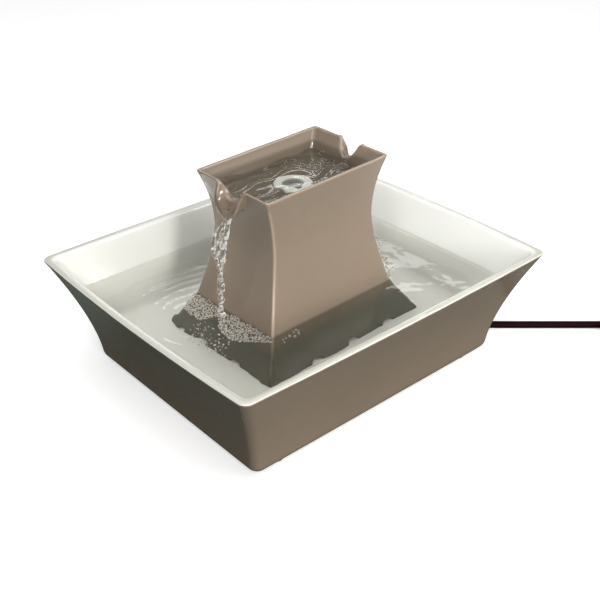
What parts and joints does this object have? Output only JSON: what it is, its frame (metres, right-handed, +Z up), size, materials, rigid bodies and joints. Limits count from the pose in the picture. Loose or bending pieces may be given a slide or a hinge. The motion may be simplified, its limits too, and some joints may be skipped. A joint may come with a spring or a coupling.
{
  "type": "pet water fountain",
  "caption": "Glazed ceramic pet water fountain: flared rectangular basin, lift-off tower with an overflow tray and pouring spouts, hidden pump and filter.",
  "frame": {"origin": "centre of the footprint, on the surface the fountain stands on", "axes": "+Z up, +X along the basin's long side with a pouring spout at each end, +Y along its short side; the cord leaves under the -Y half of the +X side"},
  "size_m": [0.4158, 0.3849, 0.1686],
  "materials": {
    "basin": "glossy taupe glaze outside, white glaze inside",
    "feet": "matte",
    "tower": "glossy taupe glaze",
    "outlet_collar": "satin white",
    "collar_gasket": "matte",
    "riser_tube": "translucent, satin",
    "riser_seal": "matte",
    "filter_box": "satin",
    "filter_lid": "satin",
    "carbon_frame": "satin",
    "carbon_pouch": "felted",
    "foam_block": "open-cell foam",
    "pump_housing": "satin",
    "pump_volute": "satin",
    "volute_gasket": "matte",
    "flow_dial": "satin",
    "impeller": "satin",
    "rotor_magnet": "smooth sintered ferrite",
    "impeller_shaft": "polished",
    "front_bush": "matte",
    "rear_bush": "matte",
    "stator_core": "laminated",
    "coil_bobbins": "satin",
    "coil_windings": "enamelled wire",
    "potting_plug": "poured resin",
    "suction_cups": "matte",
    "pump_lead": "satin",
    "lead_boot": "matte",
    "conduit_grommet": "matte",
    "inline_plug": "satin",
    "inline_socket": "satin",
    "connector_clip": "satin",
    "cord_boot": "matte",
    "power_cord": "satin",
    "cord_coil": "satin",
    "coil_tie": "matte",
    "cord_tail": "satin",
    "adapter_boot": "matte",
    "adapter_body": "satin",
    "adapter_cover": "satin",
    "adapter_blades": "nickel plated"
  },
  "bodies": {
    "base": {"basin": "basin", "feet": "feet", "riser_tube": "riser_tube", "riser_seal": "riser_seal", "filter_box": "filter_box", "filter_lid": "filter_lid", "carbon_frame": "carbon_frame", "carbon_pouch": "carbon_pouch", "foam_block": "foam_block", "pump_housing": "pump_housing", "pump_volute": "pump_volute", "volute_gasket": "volute_gasket", "impeller_shaft": "impeller_shaft", "front_bush": "front_bush", "rear_bush": "rear_bush", "stator_core": "stator_core", "coil_bobbins": "coil_bobbins", "coil_windings": "coil_windings", "potting_plug": "potting_plug", "suction_cups": "suction_cups", "pump_lead": "pump_lead", "lead_boot": "lead_boot", "conduit_grommet": "conduit_grommet", "inline_plug": "inline_plug", "inline_socket": "inline_socket", "connector_clip": "connector_clip", "cord_boot": "cord_boot", "power_cord": "power_cord", "cord_coil": "cord_coil", "coil_tie": "coil_tie", "cord_tail": "cord_tail", "adapter_boot": "adapter_boot", "adapter_body": "adapter_body", "adapter_cover": "adapter_cover", "adapter_blades": "adapter_blades"},
    "tower": {"tower": "tower", "collar_gasket": "collar_gasket"},
    "collar": {"outlet_collar": "outlet_collar"},
    "rotor": {"impeller": "impeller", "rotor_magnet": "rotor_magnet"},
    "dial": {"flow_dial": "flow_dial"}
  },
  "joints": [
    {"name": "tower_lift", "type": "slide", "parent": "base", "child": "tower", "axis": [0, 0, 1], "range_m": [0, 0.15]},
    {"name": "collar_lift", "type": "slide", "parent": "tower", "child": "collar", "axis": [0, 0, 1], "range_m": [0, 0.04]},
    {"name": "impeller_spin", "type": "hinge", "parent": "base", "child": "rotor", "pos_m": [0, 0, 0.038], "axis": [1, 0, 0], "continuous": true},
    {"name": "flow_dial_turn", "type": "hinge", "parent": "base", "child": "dial", "pos_m": [-0.015, 0, 0.038], "axis": [1, 0, 0], "range_deg": [0, 90]}
  ]
}
